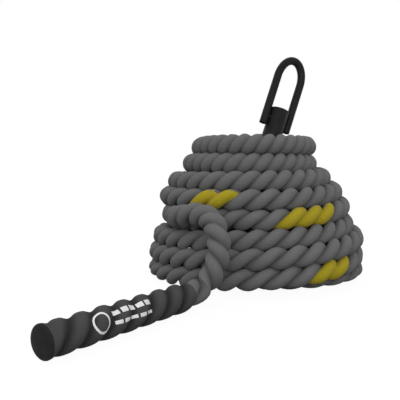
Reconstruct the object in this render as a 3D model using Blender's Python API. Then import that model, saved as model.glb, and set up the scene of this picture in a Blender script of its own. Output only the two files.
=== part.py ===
# Training rope: a two-strand rope piled in a tower, with a sleeved handle and a steel eye
import bpy
import bmesh
import math
from mathutils import Matrix, Vector

for old in list(bpy.data.objects):
    bpy.data.objects.remove(old, do_unlink=True)

mm = 0.001

# Rope
rope_diameter = 38 * mm
seat_gap = 0.3 * mm
bottom_flat = rope_diameter / 10
floor_row = rope_diameter / 2 - bottom_flat
points_per_turn = 24
steps_per_quarter = points_per_turn // 4
coil_sides_resolution = 1
stretch_sides_resolution = 2

# Radius and height of the rope's centre at each quarter turn, left, front, right and back,
# for the turns that stand on the floor; they start inside the tower on the left
lower_turns = [
    (182 * mm, floor_row),
    (176 * mm, floor_row),
    (228 * mm, floor_row),
    (230 * mm, floor_row),
    (229 * mm, floor_row),
    (231 * mm, 34 * mm),
    (230 * mm, 55 * mm),
    (229 * mm, 56 * mm),
    (228 * mm, 54 * mm),
    (229 * mm, 73 * mm),
    (230 * mm, 94 * mm),
    (222 * mm, 95 * mm),
    (215 * mm, 91 * mm),
    (210 * mm, 108 * mm),
    (207 * mm, 125 * mm),
    (205 * mm, 134 * mm),
    (196 * mm, 150 * mm),
]

# The same for the turns above, which rise inside the tower from the right
upper_turns = [
    (184 * mm, 26 * mm),
    (172 * mm, 68 * mm),
    (177 * mm, 107 * mm),
    (196 * mm, 145 * mm),
    (199 * mm, 163 * mm),
    (201 * mm, 175 * mm),
    (201 * mm, 189 * mm),
    (187 * mm, 188 * mm),
    (180 * mm, 197 * mm),
    (180 * mm, 210 * mm),
    (177 * mm, 221 * mm),
    (165 * mm, 224 * mm),
    (154 * mm, 227 * mm),
    (151 * mm, 238 * mm),
    (148 * mm, 253 * mm),
    (143 * mm, 260 * mm),
    (128 * mm, 258 * mm),
    (126 * mm, 269 * mm),
    (127 * mm, 290 * mm),
    (132 * mm, 300 * mm),
    (124 * mm, 298 * mm),
    (111 * mm, 307 * mm),
    (72 * mm, 296 * mm),
]

# Free stretch from the tower to the handle, from the place where it leaves the fifth row
tail_join = Vector((-186, -86, 150)) * mm
tail_join_direction = Vector((0.22, -1.0, 0.04)).normalized()
tail_route = [
    Vector((-173, -159, 153)) * mm,
    Vector((-147, -209, 161)) * mm,
    Vector((-117, -246, 162)) * mm,
    Vector((-99, -269, 147)) * mm,
    Vector((-92, -279, 125)) * mm,
    Vector((-91, -285, 100)) * mm,
    Vector((-96, -289, 75)) * mm,
    Vector((-107, -291, 50)) * mm,
    Vector((-124, -295, 32)) * mm,
]

# Handle
handle_length = 313 * mm
handle_mouth_left = 152.2 * mm
handle_mouth_front = 335 * mm
handle_heading = math.radians(217.44)
sleeve_wall = 2.6 * mm
sleeve_crest = 4.1 * mm
sleeve_lay = 84 * mm
sleeve_first_crest = 31.3 * mm
sleeve_lobes = 2
sleeve_sides = 24
sleeve_rings_per_lay = 16
sleeve_edge = 1.2 * mm
cap_flange = 6 * mm
cap_rim = 3 * mm
cap_spigot = 14 * mm

# Head end
ferrule_top_right = 62 * mm
ferrule_top_back = 12 * mm
ferrule_top_height = 384 * mm
head_lean_right = math.radians(18.1)
head_lean_back = math.radians(10)
bail_turn = math.radians(25)
ferrule_wall = 3.7 * mm
ferrule_length = 88 * mm
ferrule_top_wall = 3 * mm
ferrule_rim = 3 * mm
pin_below_top = 24 * mm
pin_diameter = 8 * mm
pin_recess = 1 * mm
head_route = [
    Vector((-64, -60, 272)) * mm,
    Vector((-28, -68, 252)) * mm,
    Vector((6, -40, 250)) * mm,
]

# Bail
rod_diameter = 18.6 * mm
leg_clearance = 0.5 * mm
leg_below_pin = 21.5 * mm
leg_straight = 98 * mm
arch_rise = 49 * mm
arch_steps = 16
rod_resolution = 3

cut_margin = 20 * mm
round_sides = 48

rope_radius = rope_diameter / 2
bore_radius = rope_radius + seat_gap
sleeve_groove_radius = bore_radius + sleeve_wall
sleeve_crest_radius = sleeve_groove_radius + sleeve_crest
ferrule_radius = bore_radius + ferrule_wall


def material(name, colour, roughness, metallic=0.0):
    made = bpy.data.materials.new(name)
    made.use_nodes = True
    shader = made.node_tree.nodes["Principled BSDF"]
    shader.inputs["Base Color"].default_value = (*colour, 1.0)
    shader.inputs["Roughness"].default_value = roughness
    shader.inputs["Metallic"].default_value = metallic
    return made


rope_grey = material("rope_grey", (0.13, 0.13, 0.13), 0.85)
sleeve_black = material("sleeve_black", (0.03, 0.03, 0.032), 0.5)
cap_black = material("cap_black", (0.02, 0.02, 0.02), 0.6)
ferrule_black = material("ferrule_black", (0.02, 0.02, 0.02), 0.35, 0.3)
bail_black = material("bail_black", (0.02, 0.02, 0.02), 0.3, 0.4)
pin_steel = material("pin_steel", (0.35, 0.35, 0.36), 0.35, 1.0)


def add_mesh(name, mesh_data, surface, smooth_angle=40):
    made = bpy.data.objects.new(name, mesh_data)
    bpy.context.collection.objects.link(made)
    mesh_data.materials.clear()
    mesh_data.materials.append(surface)
    mesh_data.shade_smooth()
    mesh_data.set_sharp_from_angle(angle=math.radians(smooth_angle))
    return made


def tube(name, points, radius, resolution, surface, twist="MINIMUM"):
    """A tube along the points, with filled ends, as a mesh object"""
    curve = bpy.data.curves.new(name, "CURVE")
    curve.dimensions = "3D"
    curve.bevel_depth = radius
    curve.bevel_resolution = resolution
    curve.use_fill_caps = True
    curve.twist_mode = twist
    spline = curve.splines.new("POLY")
    spline.points.add(len(points) - 1)
    for spot, point in zip(spline.points, points):
        spot.co = (*point, 1.0)
    carrier = bpy.data.objects.new(name + "_route", curve)
    bpy.context.collection.objects.link(carrier)
    bpy.context.view_layer.update()
    graph = bpy.context.evaluated_depsgraph_get()
    mesh_data = bpy.data.meshes.new_from_object(carrier.evaluated_get(graph))
    bpy.data.objects.remove(carrier, do_unlink=True)
    work = bmesh.new()
    work.from_mesh(mesh_data)
    bmesh.ops.remove_doubles(work, verts=work.verts, dist=radius / 1000)
    bmesh.ops.recalc_face_normals(work, faces=work.faces)
    work.to_mesh(mesh_data)
    work.free()
    return add_mesh(name, mesh_data, surface, 70)


def turned(name, profile, surface, place):
    """A body turned about its local Z from a profile that starts and ends on the axis"""
    work = bmesh.new()
    spots = [work.verts.new((radius, 0, height)) for radius, height in profile]
    edges = [work.edges.new(pair) for pair in zip(spots, spots[1:])]
    bmesh.ops.spin(
        work, geom=spots + edges, cent=(0, 0, 0), axis=(0, 0, 1),
        angle=math.tau, steps=round_sides, use_merge=True)
    bmesh.ops.remove_doubles(work, verts=work.verts, dist=seat_gap / 100)
    bmesh.ops.recalc_face_normals(work, faces=work.faces)
    mesh_data = bpy.data.meshes.new(name)
    work.to_mesh(mesh_data)
    work.free()
    made = add_mesh(name, mesh_data, surface)
    made.matrix_world = place
    return made


def cut(target, cutter):
    """Cut one object out of another, and keep the cutter out of the part"""
    cutter.hide_render = True
    cutter.display_type = "WIRE"
    step = target.modifiers.new("cut_" + cutter.name, "BOOLEAN")
    step.operation = "DIFFERENCE"
    step.solver = "EXACT"
    step.object = cutter


def spline_value(before, start, end, after, share):
    """Catmull-Rom value between start and end"""
    square = share * share
    cube = square * share
    return 0.5 * (
        2 * start + (end - before) * share
        + (2 * before - 5 * start + 4 * end - after) * square
        + (3 * start - before - 3 * end + after) * cube)


def turn_points(stations, first_angle):
    """Points of a coil whose radius and height are given at each quarter turn"""
    made = []
    last = len(stations) - 1
    for quarter in range(last):
        around = [stations[min(max(quarter + step, 0), last)] for step in (-1, 0, 1, 2)]
        for step in range(steps_per_quarter):
            share = step / steps_per_quarter
            radius = spline_value(*[station[0] for station in around], share)
            height = spline_value(*[station[1] for station in around], share)
            angle = first_angle + (quarter + share) * math.pi / 2
            made.append(Vector((radius * math.sin(angle), -radius * math.cos(angle), height)))
    return made


def smooth_route(knots, spacing):
    """Points of a smooth curve through the knots, about one spacing apart"""
    made = []
    for index in range(1, len(knots) - 2):
        around = knots[index - 1:index + 3]
        steps = max(1, round((around[2] - around[1]).length / spacing))
        for step in range(steps):
            made.append(spline_value(*around, step / steps))
    made.append(knots[-2])
    return made


def least_gap(points, diameter):
    """Least gap of a tube to itself, on points, neighbours along it left out"""
    lengths = [0.0]
    for start, end in zip(points, points[1:]):
        lengths.append(lengths[-1] + (end - start).length)
    least = None
    for first, place in enumerate(points):
        for second in range(first + 1, len(points)):
            if lengths[second] - lengths[first] > 2 * diameter:
                gap = (points[second] - place).length - diameter
                if least is None or gap < least[0]:
                    least = (gap, first, second)
    return least


def route_length(points):
    return sum((end - start).length for start, end in zip(points, points[1:]))


# Coil: from the handle's stretch down the lower turns, across the floor and up again
left_side = -math.pi / 2
right_side = math.pi / 2
floor_turn_radius = lower_turns[0][0] / 2
floor_turn_steps = points_per_turn // 2

down = turn_points(lower_turns, left_side)
down.append(Vector((-lower_turns[-1][0], 0, lower_turns[-1][1])))
down.reverse()
across = []
for centre, side in ((-floor_turn_radius, 1), (floor_turn_radius, -1)):
    for step in range(floor_turn_steps):
        share = step / floor_turn_steps
        angle = math.pi * (1 - share)
        lift = (upper_turns[0][1] - floor_row) * share * share if side < 0 else 0
        across.append(Vector((
            centre + floor_turn_radius * math.cos(angle),
            side * floor_turn_radius * math.sin(angle),
            floor_row + lift)))
up = turn_points(upper_turns, right_side)

join_half = tail_join_direction * seat_gap / 2
join_straight = tail_join_direction * rope_diameter
tail_start = [tail_join - join_half, tail_join - join_straight]
coil_route = tail_start + down + across[1:] + up

# Head end frame: local Z along the ferrule, local X along the pin
head_axis = Vector((
    math.sin(head_lean_right) * math.cos(head_lean_back),
    math.sin(head_lean_back),
    math.cos(head_lean_right) * math.cos(head_lean_back)))
ferrule_top = Vector((ferrule_top_right, ferrule_top_back, ferrule_top_height))
pin_axis = Vector((math.cos(bail_turn), math.sin(bail_turn), 0))
pin_axis = (pin_axis - head_axis * pin_axis.dot(head_axis)).normalized()
head_depth = head_axis.cross(pin_axis)
pin_centre = ferrule_top - head_axis * pin_below_top
head_place = Matrix.Translation(pin_centre) @ Matrix(
    (pin_axis, head_depth, head_axis)).transposed().to_4x4()

head_join_direction = (coil_route[-1] - coil_route[-2]).normalized()
head_join = coil_route[-1] + head_join_direction * rope_diameter
coil_route.append(head_join - head_join_direction * seat_gap / 2)
ferrule_mouth = ferrule_top - head_axis * ferrule_length
rope_head_end = ferrule_top - head_axis * (ferrule_top_wall + seat_gap)
head_knots = [
    head_join - head_join_direction * rope_diameter,
    head_join + head_join_direction * seat_gap / 2,
    head_join + head_join_direction * rope_diameter / 2,
    *head_route,
    ferrule_mouth - head_axis * rope_diameter / 2,
    ferrule_mouth,
    rope_head_end,
    rope_head_end + head_axis * rope_diameter,
]
head_points = smooth_route(head_knots, rope_diameter / 2)

# Handle frame: local Z from the mouth of the sleeve to its closed end
handle_axis = Vector((math.sin(handle_heading), math.cos(handle_heading), 0))
mouth_centre = Vector((-handle_mouth_left, -handle_mouth_front, sleeve_crest_radius))
rope_end_depth = handle_length - cap_flange - cap_spigot - seat_gap
handle_side = Vector((0, 0, 1)).cross(handle_axis)
handle_place = Matrix.Translation(mouth_centre) @ Matrix(
    (Vector((0, 0, 1)), -handle_side, handle_axis)).transposed().to_4x4()

tail_knots = [
    tail_join - join_straight,
    tail_join + join_half,
    tail_join + join_straight / 2,
    tail_join + join_straight,
    *tail_route,
    mouth_centre - handle_axis * rope_diameter / 4,
    mouth_centre,
    mouth_centre + handle_axis * rope_diameter / 4,
    mouth_centre + handle_axis * rope_end_depth,
    mouth_centre + handle_axis * (rope_end_depth + rope_diameter),
]
tail_points = smooth_route(tail_knots, rope_diameter / 2)

rope_coil = tube(
    "rope_coil", coil_route, rope_radius, coil_sides_resolution, rope_grey, "Z_UP")
rope_tail = tube("rope_tail", tail_points, rope_radius, stretch_sides_resolution, rope_grey)
rope_head = tube("rope_head", head_points, rope_radius, stretch_sides_resolution, rope_grey)

full_route = tail_points[::-1] + coil_route + head_points
coil_gap, coil_first, coil_second = least_gap(coil_route, rope_diameter)
rope_gap, rope_first, rope_second = least_gap(full_route, rope_diameter)
print("coil gap to itself mm", round(coil_gap / mm, 2), coil_first, coil_second)
print("rope gap to itself mm", round(rope_gap / mm, 2), rope_first, rope_second)
print("rope length m", round(route_length(full_route), 3))

# Flat underside of the rows that stand on the floor
floor_cutter = bpy.data.objects.new("floor_cutter", bpy.data.meshes.new("floor_cutter"))
bpy.context.collection.objects.link(floor_cutter)
work = bmesh.new()
bmesh.ops.create_cube(work, size=1)
base_reach = 2 * max(radius for radius, height in lower_turns) + 2 * rope_diameter
bmesh.ops.scale(work, vec=(base_reach, base_reach, cut_margin), verts=work.verts)
bmesh.ops.translate(work, vec=(0, 0, -cut_margin / 2), verts=work.verts)
work.to_mesh(floor_cutter.data)
work.free()
cut(rope_coil, floor_cutter)

# Ferrule: a cup pressed over the rope's end
top = pin_below_top
mouth = pin_below_top - ferrule_length
rim_steps = 4
rim_arc = [
    (ferrule_radius - ferrule_rim + ferrule_rim * math.sin(angle),
     top - ferrule_rim + ferrule_rim * math.cos(angle))
    for angle in [math.pi / 2 * step / rim_steps for step in range(rim_steps + 1)]]
ferrule = turned("ferrule", [
    (0, top),
    *rim_arc,
    (ferrule_radius, mouth),
    (bore_radius, mouth),
    (bore_radius, top - ferrule_top_wall),
    (0, top - ferrule_top_wall),
], ferrule_black, head_place)

# Bail: a round rod bent to a long U, its legs beside the ferrule
leg_offset = ferrule_radius + leg_clearance + rod_diameter / 2
arch_base = leg_straight
bail_points = [Vector((-leg_offset, 0, -leg_below_pin)), Vector((-leg_offset, 0, 0))]
for step in range(arch_steps + 1):
    angle = math.pi * (1 - step / arch_steps)
    bail_points.append(Vector((
        leg_offset * math.cos(angle), 0, arch_base + arch_rise * math.sin(angle))))
bail_points += [Vector((leg_offset, 0, 0)), Vector((leg_offset, 0, -leg_below_pin))]
bail = tube("bail", bail_points, rod_diameter / 2, rod_resolution, bail_black)
bail.matrix_world = head_place

# Cross pin through both legs, the ferrule and the rope
pin_radius = pin_diameter / 2
pin_half = leg_offset + rod_diameter / 2 - pin_recess
pin_place = head_place @ Matrix.Rotation(math.pi / 2, 4, "Y")
pin_chamfer = pin_radius / 4
bail_pin = turned("bail_pin", [
    (0, -pin_half),
    (pin_radius - pin_chamfer, -pin_half),
    (pin_radius, -pin_half + pin_chamfer),
    (pin_radius, pin_half - pin_chamfer),
    (pin_radius - pin_chamfer, pin_half),
    (0, pin_half),
], pin_steel, pin_place)
drill_reach = leg_offset + rod_diameter
pin_drill = turned("pin_drill", [
    (0, -drill_reach),
    (pin_radius + seat_gap, -drill_reach),
    (pin_radius + seat_gap, drill_reach),
    (0, drill_reach),
], pin_steel, pin_place)
for drilled in (ferrule, bail, rope_head):
    cut(drilled, pin_drill)

# Handle sleeve: shrunk tube that follows the two strands under it
sleeve_length = handle_length - cap_flange - seat_gap
ring_count = max(2, round(sleeve_length / sleeve_lay * sleeve_rings_per_lay))
work = bmesh.new()


def sleeve_ring(depth, inset):
    ring = []
    for side in range(sleeve_sides):
        angle = math.tau * side / sleeve_sides
        turn = math.tau * (depth - sleeve_first_crest) / sleeve_lay
        lobe = 0.5 + 0.5 * math.cos(sleeve_lobes * (angle + turn))
        radius = sleeve_groove_radius + (sleeve_crest_radius - sleeve_groove_radius) * lobe - inset
        ring.append(work.verts.new((radius * math.cos(angle), radius * math.sin(angle), depth)))
    return ring


def bore_ring(depth):
    spots = [math.tau * side / sleeve_sides for side in range(sleeve_sides)]
    reach = bore_radius / math.cos(math.pi / sleeve_sides)
    return [work.verts.new((reach * math.cos(a), reach * math.sin(a), depth)) for a in spots]


rings = [sleeve_ring(0, sleeve_edge / 2)]
for ring in range(ring_count + 1):
    share = ring / ring_count
    rings.append(sleeve_ring(sleeve_edge + (sleeve_length - sleeve_edge) * share, 0))
rings.append(bore_ring(sleeve_length))
rings.append(bore_ring(0))
for low, high in zip(rings, rings[1:] + rings[:1]):
    for side in range(sleeve_sides):
        after = (side + 1) % sleeve_sides
        work.faces.new((low[side], low[after], high[after], high[side]))
bmesh.ops.recalc_face_normals(work, faces=work.faces)
sleeve_mesh = bpy.data.meshes.new("handle_sleeve")
work.to_mesh(sleeve_mesh)
work.free()
handle_sleeve = add_mesh("handle_sleeve", sleeve_mesh, sleeve_black)
handle_sleeve.matrix_world = handle_place

# End cap: flange over the sleeve's end and a spigot in its bore
cap_radius = sleeve_crest_radius - sleeve_edge / 2
cap_back = handle_length - cap_flange
cap_front = handle_length
cap_arc = [
    (cap_radius - cap_rim + cap_rim * math.cos(angle), cap_front - cap_rim + cap_rim * math.sin(angle))
    for angle in [math.pi / 2 * step / rim_steps for step in range(rim_steps + 1)]]
handle_end_cap = turned("handle_end_cap", [
    (0, cap_back - cap_spigot),
    (rope_radius, cap_back - cap_spigot),
    (rope_radius, cap_back),
    (cap_radius, cap_back),
    *cap_arc,
    (0, cap_front),
], cap_black, handle_place)

print("pin centre m", [round(v, 5) for v in pin_centre], "axis", [round(v, 5) for v in pin_axis])
print("joins mm", [round(v / mm, 1) for v in head_join], [round(v, 3) for v in head_join_direction])
print("head axis", [round(v, 5) for v in head_axis], "depth", [round(v, 5) for v in head_depth])
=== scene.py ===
# Training rope piled in a tower: rope strands, handle, ferrule, steel eye, studio
import bpy
import bmesh
import math
import numpy as np
from mathutils import Matrix, Vector


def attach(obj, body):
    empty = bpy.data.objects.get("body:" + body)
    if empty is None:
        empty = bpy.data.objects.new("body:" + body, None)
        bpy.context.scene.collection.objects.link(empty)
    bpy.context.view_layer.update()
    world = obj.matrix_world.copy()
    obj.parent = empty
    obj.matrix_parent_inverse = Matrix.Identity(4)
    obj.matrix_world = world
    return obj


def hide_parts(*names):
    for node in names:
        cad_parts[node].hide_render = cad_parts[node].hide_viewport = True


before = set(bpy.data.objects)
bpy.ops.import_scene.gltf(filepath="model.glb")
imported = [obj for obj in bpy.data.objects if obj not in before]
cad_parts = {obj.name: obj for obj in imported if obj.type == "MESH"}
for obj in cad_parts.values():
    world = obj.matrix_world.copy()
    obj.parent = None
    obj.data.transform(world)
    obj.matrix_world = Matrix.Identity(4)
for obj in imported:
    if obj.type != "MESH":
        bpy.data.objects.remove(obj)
bpy.ops.object.select_all(action="DESELECT")
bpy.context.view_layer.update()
mm = 0.001
samePlace = 1e-6                  # metres, points nearer than this count as one
facing = 0.9                      # least part of a face's normal along the way it faces

# Rope
rope = {
    "diameter": 38 * mm,
    "strandCentre": 10.5 * mm,    # from the rope's axis to the middle of a strand
    "strandRadius": 12.5 * mm,
    "halfStrandPoints": 7,
    "outlineTo": 150,             # degrees around a strand at which its outline is worked out
    "outlineStep": 2.5,
    "ringStep": 3.6 * mm,
    "routeStep": 2 * mm,
    "quarterSteps": 12,           # route points in a quarter turn of the tower
    "halfCircleSteps": 24,        # route points in each half circle across the floor
    "knotSteps": 8,               # route points between marks of the tail and the head
    "smoothing": 22 * mm,
    "twistSmoothing": 12 * mm,
    "floorRow": 15.2 * mm,        # centre of the rows that stand on the floor
    "floorLift": 0.35 * mm,
    "earlyRise": 61 * mm,         # lifts the row behind the tail by up to 4 / 27 of this
    "riseQuarter": 2,             # the quarter turn of upperTurns that it lifts
    "hiddenLay": 80 * mm,         # one turn of the strands where no row shows it
    "layTurnsPerTurn": 15,        # in one turn of the tower
    "shortestLay": 58 * mm,
    "longestLay": 110 * mm,
    "contactGap": 0.4 * mm,       # between rows that press on each other
    "deepestPress": 6 * mm,
    "contactApart": 3,            # diameters along the rope before it can meet itself
    "inSleeve": 0.965,            # the rope is squeezed under the sleeve
    "inFerrule": 0.92,
    "squeezeRun": 26 * mm,
    "mouthRun": 9.5 * mm,         # straight on both sides of the sleeve's mouth
    "topClear": 0.3 * mm,         # under the ferrule's top wall
    "tracerTurn": 90,             # degrees to both sides of outward that a tracer covers
    "length": 12.65,              # metres from the end cap to the ferrule's top
}

# Radius and height of the rope's centre at each quarter turn, from the floor up, in mm:
# the lower turns begin at the left, then front, right and back, the upper ones at the right,
# then back, left and front. The rope goes down the lower turns and up the upper ones
lowerTurns = [
    (182, 15.2), (176, 15.2), (235, 15.2), (232, 15.2), (225, 15.2), (231, 34),
    (230, 55), (229, 56), (224, 54), (229, 73), (230, 94), (222, 95),
    (215, 91), (210, 108), (207, 125), (205, 134), (191, 144),
]
upperTurns = [
    (184, 26), (174, 80), (167, 109), (196, 145), (199, 163), (200, 177),
    (199, 183), (187, 187), (181, 196), (181, 211), (180, 217), (165, 224),
    (154, 227), (151, 238), (145, 258), (143, 260), (121, 258), (125, 267),
    (124, 295), (132, 300), (120, 298), (110, 310), (70, 299),
]
tailRoute = [
    (-174, -159, 149), (-147, -209, 160), (-117, -246, 162), (-99, -269, 147), (-92, -279, 125),
    (-91, -285, 100), (-96, -289, 75), (-107, -291, 50), (-124, -295, 32),
]
tailJoin = Vector((-183, -86, 146)) * mm
tailJoinDirection = Vector((0.22, -1.0, 0.04)).normalized()
headRoute = [(-64, -60, 272), (-28, -68, 252), (6, -40, 250)]

# How far the strands have turned, in mm from the sleeve's mouth and in degrees
tailTurns = [
    (36, -209), (75, -393), (110, -572), (140, -752),
    (175, -938), (199, -1131), (237, -1338), (286, -1527),
]
# Turns of the strands per turn of the tower, and their angle at the front, for each row that
# passes the front, in the order in which the rope passes it
rowTurns = [
    (15.15, 40), (15.45, 87), (15.4, 137), (12.4, 151), (14.9, 160), (14.2, 86), (14.6, 96),
    (15.8, 107), (15.7, 146),
]
front = {
    "within": 62,                 # degrees to both sides in which a row counts as at the front
    "leastSpan": 100,             # degrees that a whole row covers there
    "outside": 100 * mm,          # from the tower's axis
    "afterTail": 400 * mm,        # along the rope
    "afterHidden": (0, 4),        # rows with a hidden stretch before them
}
# Tracer: row in the same order, and the degrees around the tower where its strands are yellow
tracer = [(5, -45.5, -14.5), (4, 11, 48), (2, 25.5, 55)]

handle = {
    "mouth": Vector((-152.2, -335, 26)) * mm,
    "heading": math.radians(217.44),
    "length": 313 * mm,
    "capLength": 6 * mm,
    "crestRadius": 26 * mm,
    "grooveRadius": 21 * mm,
    "grooveSharpness": 3.4,
    "lay": 84 * mm,
    "firstCrest": 31.3 * mm,      # from the mouth to the first crest on top
    "roundFrom": 290 * mm,        # the lobes fade into a round end
    "roundBy": 307 * mm,
    "endRadius": 25.8 * mm,
    "wall": 1.6 * mm,
    "around": 120,
    "steps": 200,
    "sharpAngle": 50,
}

head = {
    "top": Vector((62, 12, 384)) * mm,
    "leanRight": math.radians(18.1),
    "leanBack": math.radians(10),
    "eyeTurn": math.radians(25),
    "length": 88 * mm,
    "radius": 23 * mm,
    "bore": 21.6 * mm,
    "topWall": 3 * mm,
    "rim": 2.2 * mm,
    "rimSegments": 6,
    "pinBelowTop": 24 * mm,
    "around": 96,
    "sharpAngle": 35,
}


# A point on the curve through four points, between the middle two
def between(before, start, end, after, share):
    square = share * share
    cube = square * share
    return 0.5 * (2 * start + (end - before) * share
                  + (2 * before - 5 * start + 4 * end - after) * square
                  + (3 * start - before - 3 * end + after) * cube)


def turnPoints(stations, firstAngle):
    made = []
    last = len(stations) - 1
    for quarter in range(last):
        around = [stations[min(max(quarter + step, 0), last)] for step in (-1, 0, 1, 2)]
        for step in range(rope["quarterSteps"]):
            share = step / rope["quarterSteps"]
            radius = between(*[s[0] for s in around], share) * mm
            height = between(*[s[1] for s in around], share) * mm
            angle = firstAngle + (quarter + share) * math.pi / 2
            made.append(Vector((radius * math.sin(angle), -radius * math.cos(angle), height)))
    return made


def smoothRoute(knots):
    steps = rope["knotSteps"]
    made = []
    for index in range(1, len(knots) - 2):
        for step in range(steps):
            made.append(between(*knots[index - 1:index + 3], step / steps))
    made.append(knots[-2])
    return made


# Ferrule frame: Z along the ferrule, X along the cross pin
headAxis = Vector((
    math.sin(head["leanRight"]) * math.cos(head["leanBack"]),
    math.sin(head["leanBack"]),
    math.cos(head["leanRight"]) * math.cos(head["leanBack"])))
pinAxis = Vector((math.cos(head["eyeTurn"]), math.sin(head["eyeTurn"]), 0))
pinAxis = (pinAxis - headAxis * pinAxis.dot(headAxis)).normalized()
pinCentre = head["top"] - headAxis * head["pinBelowTop"]
headPlace = Matrix.Translation(pinCentre) @ Matrix(
    (pinAxis, headAxis.cross(pinAxis), headAxis)).transposed().to_4x4()

# Handle frame: Z from the sleeve's mouth to its closed end, X up
handleAxis = Vector((math.sin(handle["heading"]), math.cos(handle["heading"]), 0))
up = Vector((0, 0, 1))
handlePlace = Matrix.Translation(handle["mouth"]) @ Matrix(
    (up, handleAxis.cross(up), handleAxis)).transposed().to_4x4()
capStart = handle["length"] - handle["capLength"]


# From the end cap through the tail, down the outer rows, across the floor, up the inner
# turns and the upper rows, and into the ferrule
def ropeRoute():
    down = turnPoints(lowerTurns, -math.pi / 2)
    down.append(Vector((-lowerTurns[-1][0], 0, lowerTurns[-1][1])) * mm)
    down.reverse()

    half = lowerTurns[0][0] / 2 * mm
    climb = upperTurns[0][1] * mm - rope["floorRow"]
    across = []
    for centre, side in ((-half, 1), (half, -1)):
        for step in range(rope["halfCircleSteps"]):
            share = step / rope["halfCircleSteps"]
            angle = math.pi * (1 - share)
            lift = climb * share * share if side < 0 else 0
            across.append(Vector((
                centre + half * math.cos(angle), side * half * math.sin(angle),
                rope["floorRow"] + lift)))

    rise = turnPoints(upperTurns, math.pi / 2)
    for step in range(rope["quarterSteps"]):
        share = step / rope["quarterSteps"]
        lifted = rise[rope["riseQuarter"] * rope["quarterSteps"] + step]
        lifted.z += rope["earlyRise"] * share * share * (1 - share)

    straight = tailJoinDirection * rope["diameter"]
    coil = [tailJoin - straight] + down + across[1:] + rise[:-1]
    mouth = handle["mouth"]
    tail = smoothRoute([
        tailJoin - straight, tailJoin, tailJoin + straight / 2, tailJoin + straight,
        *[Vector(p) * mm for p in tailRoute],
        mouth - handleAxis * rope["mouthRun"], mouth, mouth + handleAxis * rope["mouthRun"],
        mouth + handleAxis * rope["diameter"], mouth + handleAxis * capStart,
        mouth + handleAxis * (capStart + rope["diameter"])])

    direction = (coil[-1] - coil[-2]).normalized()
    leave = coil[-1] + direction * rope["diameter"]
    ferruleMouth = head["top"] - headAxis * head["length"]
    ropeEnd = head["top"] - headAxis * (head["topWall"] + rope["topClear"])
    last = smoothRoute([
        coil[-1], leave, leave + direction * rope["diameter"] / 2,
        *[Vector(p) * mm for p in headRoute],
        ferruleMouth - headAxis * rope["diameter"] / 2, ferruleMouth, ropeEnd,
        ropeEnd + headAxis * rope["diameter"]])
    return tail[::-1] + coil + last


def evenly(points, step):
    spots = np.array([tuple(p) for p in points])
    keep = np.concatenate(([True], np.linalg.norm(np.diff(spots, axis=0), axis=1) > samePlace))
    spots = spots[keep]
    lengths = np.concatenate(([0], np.cumsum(np.linalg.norm(np.diff(spots, axis=0), axis=1))))
    count = int(round(lengths[-1] / step))
    at = np.linspace(0, lengths[-1], count + 1)
    return np.stack([np.interp(at, lengths, spots[:, axis]) for axis in range(3)], axis=1)


def softened(points, reach, step):
    width = max(1, int(round(reach / step)))
    weights = np.hanning(2 * width + 3)[1:-1]
    weights /= weights.sum()
    padded = np.concatenate((
        2 * points[0] - points[width:0:-1], points,
        2 * points[-1] - points[-2:-width - 2:-1]))
    columns = [np.convolve(padded[:, axis], weights, "valid") for axis in range(points.shape[1])]
    return np.stack(columns, axis=1)


def dot(first, second):
    return (first * second).sum(-1)


centreLine = evenly(ropeRoute(), rope["routeStep"])
centreLine = softened(centreLine, rope["smoothing"], rope["routeStep"])
centreLine = evenly(centreLine, rope["ringStep"])
ringCount = len(centreLine)
along = np.concatenate(([0], np.cumsum(np.linalg.norm(np.diff(centreLine, axis=0), axis=1))))
print("rope length m", round(float(along[-1]), 3), "rings", ringCount)

# Frames carried along the rope without twist, starting with X up in the handle
tangents = np.gradient(centreLine, axis=0)
tangents /= np.linalg.norm(tangents, axis=1)[:, None]
normals = np.zeros_like(tangents)
normals[0] = (0, 0, 1)
for i in range(1, ringCount):
    carried = normals[i - 1] - tangents[i] * normals[i - 1].dot(tangents[i])
    normals[i] = carried / np.linalg.norm(carried)
binormals = np.cross(tangents, normals)
upright = np.array((0.0, 0.0, 1.0)) - tangents * tangents[:, 2:]
lean = np.degrees(np.unwrap(np.arctan2(dot(upright, binormals), dot(upright, normals))))

# Twist of the strands: set by the sleeve, the tail's marks and each row at the front
crestUpAt = capStart - handle["firstCrest"]
marksAt = [0.0, capStart]
marksTurn = [360 * (crestUpAt - s) / handle["lay"] for s in marksAt]
for place, turn in tailTurns:
    marksAt.append(capStart + place * mm)
    marksTurn.append(turn)
bearing = np.degrees(np.arctan2(centreLine[:, 0], -centreLine[:, 1]))
distance = np.hypot(centreLine[:, 0], centreLine[:, 1])
passing = (np.abs(bearing) < front["within"]) & (distance > front["outside"])
passing &= along > marksAt[-1] + front["afterTail"]
edges = np.flatnonzero(np.diff(passing.astype(int)))
runs = [np.arange(a + 1, b + 1) for a, b in zip(edges[::2], edges[1::2])]
runs = [run for run in runs if abs(bearing[run[-1]] - bearing[run[0]]) > front["leastSpan"]]
roundTheBack = (360 - 2 * front["within"]) / 360 * rope["layTurnsPerTurn"]
rowOf = np.full(ringCount, -1)
for row, (run, (rate, phase)) in enumerate(zip(runs, rowTurns)):
    sense = 1 if bearing[run[-1]] > bearing[run[0]] else -1
    turn = phase - sense * rate * bearing[run] + lean[run]
    gap = along[run[0]] - marksAt[-1]
    hidden = gap / rope["hiddenLay"] if row in front["afterHidden"] else roundTheBack
    expected = marksTurn[-1] - 360 * hidden
    turn += 180 * round((expected - turn[0]) / 180)
    marksAt += along[run].tolist()
    marksTurn += turn.tolist()
    rowOf[run] = row
marksTurn.append(marksTurn[-1] - 360 * (along[-1] - marksAt[-1]) / rope["hiddenLay"])
marksAt.append(along[-1])
twistDegrees = np.interp(along, marksAt, marksTurn)
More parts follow.
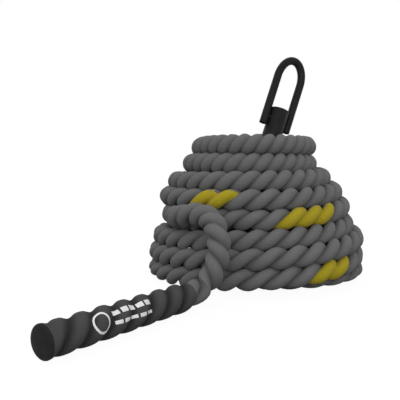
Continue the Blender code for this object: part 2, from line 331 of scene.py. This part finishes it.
twistDegrees = softened(twistDegrees[:, None], rope["twistSmoothing"], rope["ringStep"])[:, 0]
twist = np.radians(twistDegrees)
lay = math.tau / np.abs(np.gradient(twist, along))
lay = np.clip(lay, rope["shortestLay"], rope["longestLay"])
print("rows at the front", len(runs),
      "lay mm", round(float(lay.min() / mm)), round(float(lay.max() / mm)))

# Outline of a strand seen along the rope: a round strand cut at the angle of its lay
centre, strand = rope["strandCentre"], rope["strandRadius"]
crestRadius = centre + strand
slope = np.arctan(math.tau * centre / lay)[:, None]
fan = np.radians(np.arange(0, rope["outlineTo"] + 1, rope["outlineStep"]))[None, :]
outward = centre + strand * np.cos(fan)
sideways = strand * np.sin(fan) * np.cos(slope)
fanAngle = (math.tau * strand * np.sin(slope) * np.sin(fan) / lay[:, None]
            + np.arctan2(sideways, outward))
fanReach = np.hypot(outward, sideways)
half = rope["halfStrandPoints"]
shares = np.arange(half + 1) / half
offsets = np.zeros((ringCount, half + 1))
reaches = np.zeros((ringCount, half + 1))
for i in range(ringCount):
    last = int(np.argmax(fanAngle[i] >= math.pi / 2))
    span = fan[0, last - 1:last + 1]
    meet = np.interp(math.pi / 2, fanAngle[i, last - 1:last + 1], span)
    offsets[i] = np.interp(shares * meet, fan[0], fanAngle[i])
    reaches[i] = np.interp(shares * meet, fan[0], fanReach[i])
offsets[:, -1] = math.pi / 2
offsets = np.concatenate((-offsets[:, :0:-1], offsets[:, :-1]), axis=1)
reaches = np.concatenate((reaches[:, :0:-1], reaches[:, :-1]), axis=1)
around = np.concatenate((offsets, offsets + math.pi), axis=1)
reach = np.concatenate((reaches, reaches), axis=1)
perRing = around.shape[1]
ferruleAt = along[-1] - (head["length"] - head["topWall"])
squeezedAt = [
    0, capStart, capStart + rope["squeezeRun"],
    ferruleAt - rope["squeezeRun"], ferruleAt, along[-1]]
squeezedTo = [rope["inSleeve"], rope["inSleeve"], 1, 1, rope["inFerrule"], rope["inFerrule"]]
reach = reach * np.interp(along, squeezedAt, squeezedTo)[:, None]
grooveShade = 1 - (reach - reach.min()) / (reach.max() - reach.min())
angles = twist[:, None] + around
radial = (normals[:, None, :] * np.cos(angles)[..., None]
          + binormals[:, None, :] * np.sin(angles)[..., None])
places = centreLine[:, None, :] + radial * reach[..., None]

# Rows in touch press into each other, each by half of what they share
spots = centreLine.astype(np.float32)
squares = (spots ** 2).sum(1)
apart = np.sqrt(np.maximum(squares[:, None] + squares[None, :] - 2 * spots @ spots.T, 0))
nearAlong = np.abs(along[:, None] - along[None, :]) < rope["contactApart"] * rope["diameter"]
apart[nearAlong] = np.inf
before, here, beyond = apart[:, :-2], apart[:, 1:-1], apart[:, 2:]
nearest = (here < 2 * crestRadius) & (here < before) & (here <= beyond)
own, other = np.nonzero(nearest)
other = other + 1
press = np.zeros((ringCount, perRing))
offset = places[own] - centreLine[other][:, None, :]
ahead = dot(offset, tangents[other][:, None, :])
angleThere = np.arctan2(
    dot(offset, binormals[other][:, None, :]), dot(offset, normals[other][:, None, :]))
radiusThere = np.sqrt(np.maximum(dot(offset, offset) - ahead ** 2, 0))
angleThere -= twist[other][:, None] - math.tau * ahead / lay[other][:, None]
angleThere = (angleThere + math.pi / 2) % math.pi - math.pi / 2
for k in range(len(own)):
    j = other[k]
    limit = np.interp(angleThere[k], around[j, :2 * half], reach[j, :2 * half])
    deeper = (limit + rope["contactGap"] - radiusThere[k]) / 2
    np.maximum(press[own[k]], deeper, out=press[own[k]])
press = np.minimum(press, rope["deepestPress"])
places -= radial * press[..., None]
print("row contacts", len(own), "deepest press mm", round(float(press.max() / mm), 1))

# Rows on the floor are pressed flat underneath
low = centreLine[:, 2] < crestRadius
depth = centreLine[:, None, 2] - places[..., 2]
squeeze = ((centreLine[:, 2] - rope["floorLift"]) / crestRadius)[:, None]
pressed = centreLine[:, None, 2] - depth * squeeze
places[..., 2] = np.where(low[:, None] & (depth > 0), pressed, places[..., 2])

# Tracer: the turn of a strand whose middle faces outward within the given degrees
tall = np.cross(tangents, upright)
faceOut = np.degrees(np.arctan2(dot(tall, binormals), dot(tall, normals)))
faceOut += 180 * (dot(tall * centreLine, (1, 1, 0)) < 0)
perMetre = np.degrees(np.gradient(np.unwrap(np.radians(bearing)), along))
yellow = np.zeros((ringCount, perRing))
for k in range(2):
    strandOut = (twistDegrees + 180 * k - faceOut + 180) % 360 - 180
    middle = bearing + strandOut / 360 * lay * perMetre
    columns = slice(2 * half * k, 2 * half * (k + 1))
    pointOut = (np.degrees(angles[:, columns]) - faceOut[:, None] + 180) % 360 - 180
    turnedOut = np.abs(pointOut) < rope["tracerTurn"]
    for row, start, end in tracer:
        chosen = (rowOf == row) & (middle > start) & (middle < end)
        yellow[:, columns] = np.maximum(yellow[:, columns], chosen[:, None] * turnedOut)

verts = places.reshape(-1, 3)
column = np.arange(perRing)
after = (column + 1) % perRing
base = np.arange(ringCount - 1)[:, None] * perRing
faces = np.stack((
    base + column, base + after, base + perRing + after, base + perRing + column), axis=-1)
firstCentre, lastCentre = len(verts), len(verts) + 1
verts = np.concatenate((verts, centreLine[:1], centreLine[-1:]))
lastRing = (ringCount - 1) * perRing
faceList = faces.reshape(-1, 4).tolist()
faceList += [[firstCentre, int(b), int(a)] for a, b in zip(column, after)]
faceList += [[lastCentre, int(lastRing + a), int(lastRing + b)] for a, b in zip(column, after)]
ropeMesh = bpy.data.meshes.new("trainingRope")
ropeMesh.from_pydata(verts.tolist(), [], faceList)
trainingRope = bpy.data.objects.new("trainingRope", ropeMesh)
bpy.context.collection.objects.link(trainingRope)
ropeMesh.shade_smooth()

# Yarn coordinates: metres along the rope in U, turns around it in V
fibre = ropeMesh.uv_layers.new(name="fibre")
turns = np.concatenate((angles, angles[:, :1] + math.tau), axis=1) / math.tau
alongHere = np.broadcast_to(along[:-1, None], (ringCount - 1, perRing))
alongNext = np.broadcast_to(along[1:, None], (ringCount - 1, perRing))
corners = np.stack((
    alongHere, turns[:-1, :-1], alongHere, turns[:-1, 1:],
    alongNext, turns[1:, 1:], alongNext, turns[1:, :-1]), axis=-1).reshape(-1)
endFaces = 2 * perRing            # triangles of both ends, outside the pattern
fibre.data.foreach_set("uv", np.concatenate((corners, np.zeros(endFaces * 3 * 2))))
faceYellow = (yellow[:-1] * yellow[1:] > 0).reshape(-1).astype(float)
tracerLayer = ropeMesh.attributes.new("tracer", "FLOAT", "FACE")
tracerLayer.data.foreach_set("value", np.concatenate((faceYellow, np.zeros(endFaces))))
# Depth into the grooves between strands, used as painted shade in the rope's colour
grooveLayer = ropeMesh.attributes.new("grooveShade", "FLOAT", "POINT")
grooveLayer.data.foreach_set("value", np.concatenate((grooveShade.reshape(-1), (0, 0))))
print("rope mesh", len(verts), "points", int(faceYellow.sum()), "tracer faces")


# Material helpers
def addNode(tree, kind, **settings):
    node = tree.nodes.new(kind)
    for name, value in settings.items():
        setattr(node, name, value)
    return node


def newMaterial(name, colour, roughness, specular, metallic=0.0):
    made = bpy.data.materials.new(name)
    made.use_nodes = True
    shader = made.node_tree.nodes["Principled BSDF"]
    shader.inputs["Base Color"].default_value = (*colour, 1)
    shader.inputs["Roughness"].default_value = roughness
    shader.inputs["Specular IOR Level"].default_value = specular
    shader.inputs["Metallic"].default_value = metallic
    return made, shader, made.node_tree


noiseRange = (0.3, 0.7)           # most of a noise lies between these


# Noise on Object coordinates, or on a UV map, from low to high
def grain(tree, scale, low, high, detail=2.0, stretch=(1, 1, 1), uvMap=None):
    if uvMap:
        source = addNode(tree, "ShaderNodeUVMap", uv_map=uvMap).outputs["UV"]
    else:
        source = addNode(tree, "ShaderNodeTexCoord").outputs["Object"]
    mapping = addNode(tree, "ShaderNodeMapping")
    mapping.inputs["Scale"].default_value = stretch
    noise = addNode(tree, "ShaderNodeTexNoise")
    noise.inputs["Scale"].default_value = scale
    noise.inputs["Detail"].default_value = detail
    spread = addNode(tree, "ShaderNodeMapRange")
    spread.inputs["From Min"].default_value, spread.inputs["From Max"].default_value = noiseRange
    spread.inputs["To Min"].default_value = low
    spread.inputs["To Max"].default_value = high
    tree.links.new(source, mapping.inputs["Vector"])
    tree.links.new(mapping.outputs["Vector"], noise.inputs["Vector"])
    tree.links.new(noise.outputs["Fac"], spread.inputs["Value"])
    return spread.outputs["Result"]


def maths(tree, operation, first, second):
    node = addNode(tree, "ShaderNodeMath", operation=operation)
    tree.links.new(first, node.inputs[0])
    if isinstance(second, (int, float)):
        node.inputs[1].default_value = second
    else:
        tree.links.new(second, node.inputs[1])
    return node.outputs[0]


def mixColours(tree, share, first, second):
    node = addNode(tree, "ShaderNodeMix", data_type="RGBA")
    tree.links.new(share, node.inputs["Factor"])
    for socket, colour in ((node.inputs[6], first), (node.inputs[7], second)):
        if isinstance(colour, tuple):
            socket.default_value = (*colour, 1)
        else:
            tree.links.new(colour, socket)
    return node.outputs[2]


# A colour, made darker or lighter by a value, as the shader's colour
def paint(tree, shader, colour, value):
    node = addNode(tree, "ShaderNodeVectorMath", operation="SCALE")
    if isinstance(colour, tuple):
        node.inputs[0].default_value = colour
    else:
        tree.links.new(colour, node.inputs[0])
    tree.links.new(value, node.inputs["Scale"])
    tree.links.new(node.outputs[0], shader.inputs["Base Color"])


def roughen(tree, shader, value):
    tree.links.new(value, shader.inputs["Roughness"])


def surfaceBump(tree, shader, height, depth, strength):
    node = addNode(tree, "ShaderNodeBump")
    node.inputs["Strength"].default_value = strength
    node.inputs["Distance"].default_value = depth
    tree.links.new(height, node.inputs["Height"])
    tree.links.new(node.outputs["Normal"], shader.inputs["Normal"])


def attribute(tree, name):
    return addNode(tree, "ShaderNodeAttribute", attribute_name=name).outputs["Fac"]


# Rope fibre: yarns along the rope, fuzz, painted shade darkening it towards the grooves, a yellow
# tracer
fibreLook = {
    "grey": (0.162, 0.162, 0.162),
    "yellow": (0.42, 0.338, 0.018),
    "shadeInGroove": (0.072, 0.072, 0.072),
    "grooveSharpness": 1.7,
    "yarnStretch": (40, 95, 1),
    "sheen": 0.05,
    "sheenRoughness": 0.6,
}
ropeGrey, shader, tree = newMaterial(
    "ropeGrey", fibreLook["grey"], roughness=0.9, specular=0.1)
yarnStretch = fibreLook["yarnStretch"]
yarns = grain(tree, 1.0, low=0.9, high=1.06, detail=1.0, stretch=yarnStretch, uvMap="fibre")
fuzz = grain(tree, 800, low=0.96, high=1.03)
clouds = grain(tree, 9, low=0.95, high=1.04)
value = maths(tree, "MULTIPLY", maths(tree, "MULTIPLY", yarns, fuzz), clouds)
# Painted shade: the colour turns darker towards the bottom of the grooves
deep = maths(tree, "POWER", attribute(tree, "grooveShade"), fibreLook["grooveSharpness"])
body = mixColours(tree, deep, fibreLook["grey"], fibreLook["shadeInGroove"])
body = mixColours(tree, attribute(tree, "tracer"), body, fibreLook["yellow"])
paint(tree, shader, body, value)
roughen(tree, shader, grain(
    tree, 1.0, low=0.96, high=0.82, detail=1.0, stretch=yarnStretch, uvMap="fibre"))
surfaceBump(tree, shader, maths(tree, "ADD", yarns, fuzz), depth=1.2 * mm, strength=0.35)
shader.inputs["Sheen Weight"].default_value = fibreLook["sheen"]
shader.inputs["Sheen Roughness"].default_value = fibreLook["sheenRoughness"]

# Shrink sleeve: satin polymer, with painted shade darkening its grooves
sleeveLook = {"face": (0.078, 0.078, 0.079), "grooveShade": (0.03, 0.03, 0.031)}
sleeveBlack, shader, tree = newMaterial(
    "sleeveBlack", sleeveLook["face"], roughness=0.65, specular=0.02)
# Painted shade: a darker colour in the grooves, the plain face colour on the crests
body = mixColours(tree, attribute(tree, "crest"), sleeveLook["grooveShade"], sleeveLook["face"])
paint(tree, shader, body, maths(
    tree, "MULTIPLY", grain(tree, 30, low=0.92, high=1.06), grain(tree, 900, low=0.96, high=1.04)))
roughen(tree, shader, grain(tree, 55, low=0.58, high=0.7, detail=3.0))
surfaceBump(tree, shader, maths(
    tree, "ADD", grain(tree, 1600, low=0, high=0.3), grain(tree, 110, low=0, high=1)),
    depth=0.12 * mm, strength=0.5)

# Moulded end disc: black, and darker than the sleeve as painted shade on its face, which turns
# away from the light
discLook = {"black": (0.02, 0.02, 0.021), "dust": (0.027, 0.027, 0.027)}
discShadedBlack, shader, tree = newMaterial(
    "discShadedBlack", discLook["black"], roughness=0.65, specular=0.05)
body = mixColours(
    tree, grain(tree, 70, low=0, high=1, detail=4.0), discLook["black"], discLook["dust"])
paint(tree, shader, body, grain(tree, 900, low=0.94, high=1.05))
roughen(tree, shader, grain(tree, 80, low=0.58, high=0.7, detail=3.0))
surfaceBump(tree, shader, grain(tree, 1500, low=0, high=1), depth=0.06 * mm, strength=0.4)

# Black powder coat on the ferrule and the eye
coatLook = {"black": (0.0095, 0.0095, 0.0098), "rubbed": (0.015, 0.015, 0.015)}
steelBlack, shader, tree = newMaterial(
    "steelBlack", coatLook["black"], roughness=0.45, specular=0.12)
body = mixColours(
    tree, grain(tree, 45, low=0, high=1, detail=4.0), coatLook["black"], coatLook["rubbed"])
paint(tree, shader, body, grain(tree, 700, low=0.92, high=1.06))
roughen(tree, shader, grain(tree, 60, low=0.36, high=0.5, detail=3.0))
surfaceBump(tree, shader, grain(tree, 1300, low=0, high=1), depth=0.08 * mm, strength=0.45)

# Blackened steel of the cross pin
pinLook = {"steel": (0.09, 0.09, 0.095)}
pinSteel, shader, tree = newMaterial(
    "pinSteel", pinLook["steel"], roughness=0.35, specular=0.5, metallic=1.0)
paint(tree, shader, pinLook["steel"], grain(tree, 400, low=0.8, high=1.15, detail=3.0))
roughen(tree, shader, grain(tree, 250, low=0.28, high=0.45, detail=3.0))
surfaceBump(tree, shader, grain(tree, 1500, low=0, high=1), depth=0.05 * mm, strength=0.4)

# White ink of the plain marks, thin in places
inkLook = {"plain": (0.85, 0.85, 0.85), "white": (0.88, 0.88, 0.88)}
printWhite, shader, tree = newMaterial(
    "printWhite", inkLook["plain"], roughness=0.55, specular=0.4)
paint(tree, shader, inkLook["white"], maths(
    tree, "MULTIPLY", grain(tree, 500, low=0.93, high=1.02), grain(tree, 60, low=0.95, high=1.02)))
roughen(tree, shader, grain(tree, 300, low=0.5, high=0.65))
surfaceBump(tree, shader, grain(tree, 1400, low=0, high=1), depth=0.04 * mm, strength=0.4)
print("materials made")

ropeMesh.materials.append(ropeGrey)
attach(trainingRope, "rope")
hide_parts("rope_coil", "rope_tail", "rope_head")


# Mesh helpers
def deselect():
    bpy.ops.object.select_all(action="DESELECT")


def startEdit():
    bpy.ops.object.mode_set(mode="EDIT")
    bpy.ops.mesh.select_all(action="SELECT")


def endFacingOut():
    bpy.ops.mesh.select_all(action="SELECT")
    bpy.ops.mesh.normals_make_consistent(inside=False)
    bpy.ops.object.mode_set(mode="OBJECT")


def selectFaces(piece, wanted):
    mesh = bmesh.from_edit_mesh(piece.data)
    for face in mesh.faces:
        face.select_set(wanted(face.normal))
    bmesh.update_edit_mesh(piece.data)


def solidify(piece, thickness, side):
    wall = piece.modifiers.new("wall", "SOLIDIFY")
    wall.thickness = thickness
    wall.offset = side
    bpy.ops.object.modifier_apply(modifier="wall")


# Puts the place into the mesh, so that the object stays at the origin
def finishMesh(piece, place, material, sharpAngle=None):
    piece.data.transform(place)
    piece.matrix_world = Matrix.Identity(4)
    piece.data.update()
    piece.data.shade_smooth()
    if sharpAngle:
        piece.data.set_sharp_from_angle(angle=math.radians(sharpAngle))
    piece.data.materials.append(material)


# Handle sleeve
def lobeRadius(angle, depth):
    turn = math.tau * (depth - handle["firstCrest"]) / handle["lay"]
    dip = handle["crestRadius"] - handle["grooveRadius"]
    dip *= abs(math.sin(angle + turn)) ** handle["grooveSharpness"]
    fade = (depth - handle["roundFrom"]) / (handle["roundBy"] - handle["roundFrom"])
    fade = min(max(fade, 0), 1)
    fade = fade * fade * (3 - 2 * fade)
    return (handle["crestRadius"] - dip) * (1 - fade) + handle["endRadius"] * fade


def layOnLobes(mesh):
    for spot in mesh.vertices:
        angle = math.atan2(spot.co.y, spot.co.x)
        radius = lobeRadius(angle, spot.co.z)
        spot.co.x, spot.co.y = radius * math.cos(angle), radius * math.sin(angle)


def paintCrests(piece):
    layer = piece.data.attributes.new("crest", "FLOAT", "POINT")
    lowest, highest = handle["grooveRadius"], handle["crestRadius"]
    for index, spot in enumerate(piece.data.vertices):
        radius = lobeRadius(math.atan2(spot.co.y, spot.co.x), spot.co.z)
        layer.data[index].value = (radius - lowest) / (highest - lowest)


deselect()
bpy.ops.mesh.primitive_circle_add(vertices=handle["around"], radius=handle["crestRadius"])
sleeveSkin = bpy.context.object
sleeveSkin.name = "sleeveSkin"
layOnLobes(sleeveSkin.data)
screw = sleeveSkin.modifiers.new("twist", "SCREW")
screw.angle = -math.tau * capStart / handle["lay"]
screw.screw_offset = capStart
screw.steps = handle["steps"]
screw.render_steps = handle["steps"]
screw.use_merge_vertices = False
bpy.ops.object.modifier_apply(modifier="twist")
layOnLobes(sleeveSkin.data)
startEdit()
bpy.ops.mesh.remove_doubles(threshold=samePlace)
endFacingOut()
outermost = max(sleeveSkin.data.polygons, key=lambda face: face.center.xy.length)
if outermost.normal.xy.dot(outermost.center.xy) < 0:
    sleeveSkin.data.flip_normals()
solidify(sleeveSkin, handle["wall"], side=-1)
startEdit()
endFacingOut()
paintCrests(sleeveSkin)
finishMesh(sleeveSkin, handlePlace, sleeveBlack, handle["sharpAngle"])
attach(sleeveSkin, "rope")
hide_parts("handle_sleeve")

# End cap: a domed round disc that closes the sleeve
cap = {
    "steps": 10,
    "stopAt": 0.985,              # share of the dome's quarter turn, a small disc stays flat
}
deselect()
bpy.ops.mesh.primitive_circle_add(
    vertices=handle["around"], radius=handle["crestRadius"], fill_type="NGON")
endCap = bpy.context.object
endCap.name = "endCap"
startEdit()
for step in range(1, cap["steps"] + 1):
    before, now = (
        math.pi / 2 * min(k / cap["steps"], cap["stopAt"]) for k in (step - 1, step))
    bpy.ops.mesh.extrude_region_move(TRANSFORM_OT_translate={
        "value": (0, 0, handle["capLength"] * (math.sin(now) - math.sin(before)))})
    shrink = math.cos(now) / math.cos(before)
    bpy.ops.transform.resize(value=(shrink, shrink, 1))
endFacingOut()
for spot in endCap.data.vertices:
    angle = math.atan2(spot.co.y, spot.co.x)
    grown = lobeRadius(angle, capStart + spot.co.z) / handle["crestRadius"]
    spot.co.x *= grown
    spot.co.y *= grown
    spot.co.z += capStart
paintCrests(endCap)
finishMesh(endCap, handlePlace, discShadedBlack)
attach(endCap, "rope")
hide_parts("handle_end_cap")

# Plain white marks on the sleeve: a ring and two rows of bars, laid on its lobes
marks = {
    "lift": 0.12 * mm,
    "ink": 0.1 * mm,
    "spread": 22 * mm,            # radius that turns a width into an angle
    "middle": math.radians(-66),
    "ringAt": 219 * mm,
    "ringRadius": 15 * mm,
    "ringWidth": 3.2 * mm,
    "ringPoints": 96,
    "ringSteps": 3,
    "bars": 5,
    "firstBar": 112 * mm,
    "barLength": 13 * mm,
    "barGap": 4 * mm,
    "barRows": [(8.4 * mm, 7.5 * mm), (-6.4 * mm, 5 * mm)],   # place around and height
    "barGrid": (10, 8),
    "sharpAngle": 40,
}
deselect()
bpy.ops.mesh.primitive_circle_add(
    vertices=marks["ringPoints"], radius=marks["ringRadius"],
    location=(marks["ringAt"], 0, 0), fill_type="NOTHING")
handleMarks = bpy.context.object
handleMarks.name = "handleMarks"
bpy.ops.object.transform_apply(location=True)
startEdit()
for step in range(marks["ringSteps"]):
    before = marks["ringRadius"] - marks["ringWidth"] * step / marks["ringSteps"]
    bpy.ops.mesh.extrude_region_move(TRANSFORM_OT_translate={"value": (0, 0, 0)})
    shrink = (before - marks["ringWidth"] / marks["ringSteps"]) / before
    bpy.ops.transform.resize(value=(shrink, shrink, 1))
for aside, tallness in marks["barRows"]:
    for k in range(marks["bars"]):
        barAt = marks["firstBar"] + marks["barLength"] / 2
        barAt += k * (marks["barLength"] + marks["barGap"])
        bpy.ops.mesh.select_all(action="DESELECT")
        bpy.ops.mesh.primitive_grid_add(
            x_subdivisions=marks["barGrid"][0], y_subdivisions=marks["barGrid"][1], size=1,
            location=(barAt, aside, 0))
        bpy.ops.transform.resize(value=(marks["barLength"], tallness, 1))
bpy.ops.object.mode_set(mode="OBJECT")
for spot in handleMarks.data.vertices:
    depth, angle = spot.co.x, marks["middle"] + spot.co.y / marks["spread"]
    radius = lobeRadius(angle, depth) + marks["lift"]
    spot.co = (radius * math.cos(angle), radius * math.sin(angle), depth)
startEdit()
endFacingOut()
solidify(handleMarks, marks["ink"], side=1)
finishMesh(handleMarks, handlePlace, printWhite, marks["sharpAngle"])
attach(handleMarks, "rope")
print("handle made")

# Ferrule
deselect()
bpy.ops.mesh.primitive_cylinder_add(
    vertices=head["around"], radius=head["radius"], depth=head["length"],
    location=(0, 0, head["pinBelowTop"] - head["length"] / 2))
ferruleCup = bpy.context.object
ferruleCup.name = "ferruleCup"
bpy.ops.object.transform_apply(location=True)
bpy.ops.object.mode_set(mode="EDIT")
selectFaces(ferruleCup, lambda normal: normal.z > facing)
bpy.ops.mesh.bevel(offset=head["rim"], segments=head["rimSegments"], affect="EDGES")
bpy.ops.mesh.select_all(action="DESELECT")
selectFaces(ferruleCup, lambda normal: normal.z < -facing)
bpy.ops.mesh.inset(thickness=head["radius"] - head["bore"])
bpy.ops.mesh.extrude_region_move(TRANSFORM_OT_translate={
    "value": (0, 0, head["length"] - head["topWall"])})
endFacingOut()
finishMesh(ferruleCup, headPlace, steelBlack, head["sharpAngle"])
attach(ferruleCup, "rope")
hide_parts("ferrule")
print("ferrule made")

# Steel eye
eye = {
    "rodRadius": 9.3 * mm,
    "legOffset": 32.8 * mm,
    "legBelowPin": 21.5 * mm,
    "straight": 98 * mm,
    "rise": 49 * mm,
    "quarterHandle": 0.5523,      # handle of a quarter circle, as a share of its radius
    "endHandle": 5 * mm,
    "footHandle": 20 * mm,
    "legHandle": 30 * mm,
    "aroundRod": 12,
    "alongRod": 20,
    "edge": 0.8 * mm,
    "edgeSegments": 3,
    "edgeAngle": 60,
    "sharpAngle": 40,
}
deselect()
bpy.ops.curve.primitive_bezier_curve_add()
steelEye = bpy.context.object
steelEye.name = "steelEye"
line = steelEye.data
line.dimensions = "3D"
line.bevel_depth = eye["rodRadius"]
line.bevel_resolution = eye["aroundRod"]
line.resolution_u = eye["alongRod"]
line.use_fill_caps = True
line.twist_mode = "MINIMUM"
side, foot, knee = eye["legOffset"], -eye["legBelowPin"], eye["straight"]
summit = knee + eye["rise"]
bulge, pull = eye["rise"] * eye["quarterHandle"], side * eye["quarterHandle"]
bend = [
    ((-side, 0, foot), (-side, 0, foot - eye["endHandle"]), (-side, 0, foot + eye["footHandle"])),
    ((-side, 0, knee), (-side, 0, knee - eye["legHandle"]), (-side, 0, knee + bulge)),
    ((0, 0, summit), (-pull, 0, summit), (pull, 0, summit)),
    ((side, 0, knee), (side, 0, knee + bulge), (side, 0, knee - eye["legHandle"])),
    ((side, 0, foot), (side, 0, foot + eye["footHandle"]), (side, 0, foot - eye["endHandle"])),
]
spline = line.splines[0]
spline.bezier_points.add(len(bend) - 2)
for point, (spot, left, right) in zip(spline.bezier_points, bend):
    point.handle_left_type = "FREE"
    point.handle_right_type = "FREE"
    point.co, point.handle_left, point.handle_right = spot, left, right
bpy.ops.object.convert(target="MESH")
startEdit()
bpy.ops.mesh.remove_doubles(threshold=samePlace)
endFacingOut()
soften = steelEye.modifiers.new("endEdges", "BEVEL")
soften.width = eye["edge"]
soften.segments = eye["edgeSegments"]
soften.limit_method = "ANGLE"
soften.angle_limit = math.radians(eye["edgeAngle"])
bpy.ops.object.modifier_apply(modifier="endEdges")
steelEye.data.materials.clear()
finishMesh(steelEye, headPlace, steelBlack, eye["sharpAngle"])
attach(steelEye, "eye")
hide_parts("bail")
print("eye made")

# Cross pin
pin = {
    "radius": 4 * mm,
    "half": 41.1 * mm,
    "edge": 0.8 * mm,
    "edgeSegments": 3,
    "around": 48,
    "sharpAngle": 35,
}
deselect()
bpy.ops.mesh.primitive_cylinder_add(
    vertices=pin["around"], radius=pin["radius"], depth=2 * pin["half"],
    rotation=(0, math.pi / 2, 0))
crossPin = bpy.context.object
crossPin.name = "crossPin"
bpy.ops.object.transform_apply(rotation=True)
bpy.ops.object.mode_set(mode="EDIT")
selectFaces(crossPin, lambda normal: abs(normal.x) > facing)
bpy.ops.mesh.bevel(offset=pin["edge"], segments=pin["edgeSegments"], affect="EDGES")
bpy.ops.object.mode_set(mode="OBJECT")
finishMesh(crossPin, headPlace, pinSteel, pin["sharpAngle"])
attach(crossPin, "rope")
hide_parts("bail_pin")
print("cross pin made")

# Studio
studio = {
    "floorSize": 12.0,
    "floorColour": (0.06, 0.06, 0.06),
    "glow": 0.95,                 # the floor looks white to the camera, metal sees it white too
    "paintedShadeMiddle": (0.02, 0.027),  # painted shade on the floor inside the tower, where it has no glow; its rows hide where the glow starts
    "paintedShadeEdge": 0.175,
    "paintedShadeFadeEnd": 0.195,
    "sky": 0.76,
    "keyPlace": (-0.1, -2.4, 0.7),
    "keyAim": (0, -0.1, 0.15),
    "keySize": 1.2,
    "keyEnergy": 14,
}


# 1 for rays from the camera, and for those that a mirror or glass sends on
def seenRays(tree):
    rays = addNode(tree, "ShaderNodeLightPath").outputs
    seen = maths(tree, "MAXIMUM", rays["Is Camera Ray"], rays["Is Glossy Ray"])
    return maths(tree, "MAXIMUM", seen, rays["Is Transmission Ray"])


deselect()
bpy.ops.mesh.primitive_plane_add(size=studio["floorSize"])
studioFloor = bpy.context.object
studioFloor.name = "studioFloor"
floorPaint, shader, tree = newMaterial(
    "floorPaint", studio["floorColour"], roughness=0.9, specular=0.1)
# Painted shade under the tower: no glow near its middle, fading up to full glow further out
floorSpot = addNode(tree, "ShaderNodeTexCoord")
centred = addNode(tree, "ShaderNodeMapping")
centred.inputs["Location"].default_value = (*[-c for c in studio["paintedShadeMiddle"]], 0)
fromMiddle = addNode(tree, "ShaderNodeVectorMath", operation="LENGTH")
tree.links.new(floorSpot.outputs["Object"], centred.inputs["Vector"])
tree.links.new(centred.outputs["Vector"], fromMiddle.inputs[0])
glowPastPaintedShade = addNode(tree, "ShaderNodeMapRange")
glowPastPaintedShade.inputs["From Min"].default_value = studio["paintedShadeEdge"]
glowPastPaintedShade.inputs["From Max"].default_value = studio["paintedShadeFadeEnd"]
glowPastPaintedShade.inputs["To Max"].default_value = studio["glow"]
tree.links.new(fromMiddle.outputs["Value"], glowPastPaintedShade.inputs["Value"])
glow = maths(tree, "MULTIPLY", seenRays(tree), glowPastPaintedShade.outputs["Result"])
shader.inputs["Emission Color"].default_value = (1, 1, 1, 1)
tree.links.new(glow, shader.inputs["Emission Strength"])
paint(tree, shader, studio["floorColour"], grain(tree, 40, low=0.97, high=1.03))
studioFloor.data.materials.append(floorPaint)

world = bpy.data.worlds.new("studioSky")
bpy.context.scene.world = world
world.use_nodes = True
sky = world.node_tree
background = sky.nodes["Background"]
background.inputs["Color"].default_value = (1, 1, 1, 1)
skyStrength = addNode(sky, "ShaderNodeMix", data_type="FLOAT")
skyStrength.inputs["A"].default_value = studio["sky"]
skyStrength.inputs["B"].default_value = 1.0
sky.links.new(seenRays(sky), skyStrength.inputs["Factor"])
sky.links.new(skyStrength.outputs["Result"], background.inputs["Strength"])

bpy.ops.object.light_add(type="AREA", location=studio["keyPlace"])
keyLight = bpy.context.object
keyLight.name = "keyLight"
keyLight.data.shape = "SQUARE"
keyLight.data.size = studio["keySize"]
keyLight.data.energy = studio["keyEnergy"]
towards = Vector(studio["keyAim"]) - Vector(studio["keyPlace"])
keyLight.rotation_euler = towards.to_track_quat("-Z", "Y").to_euler()

# Camera
camera = {"place": (-0.12635, -1.31112, 0.27747), "pitch": 4.597, "lens": 50, "sensor": 36}
bpy.ops.object.camera_add(
    location=camera["place"], rotation=(math.radians(90 - camera["pitch"]), 0, 0))
view = bpy.context.object
view.data.lens = camera["lens"]
view.data.sensor_width = camera["sensor"]
bpy.context.scene.camera = view
bpy.context.scene.view_settings.view_transform = "Standard"
print("studio made")
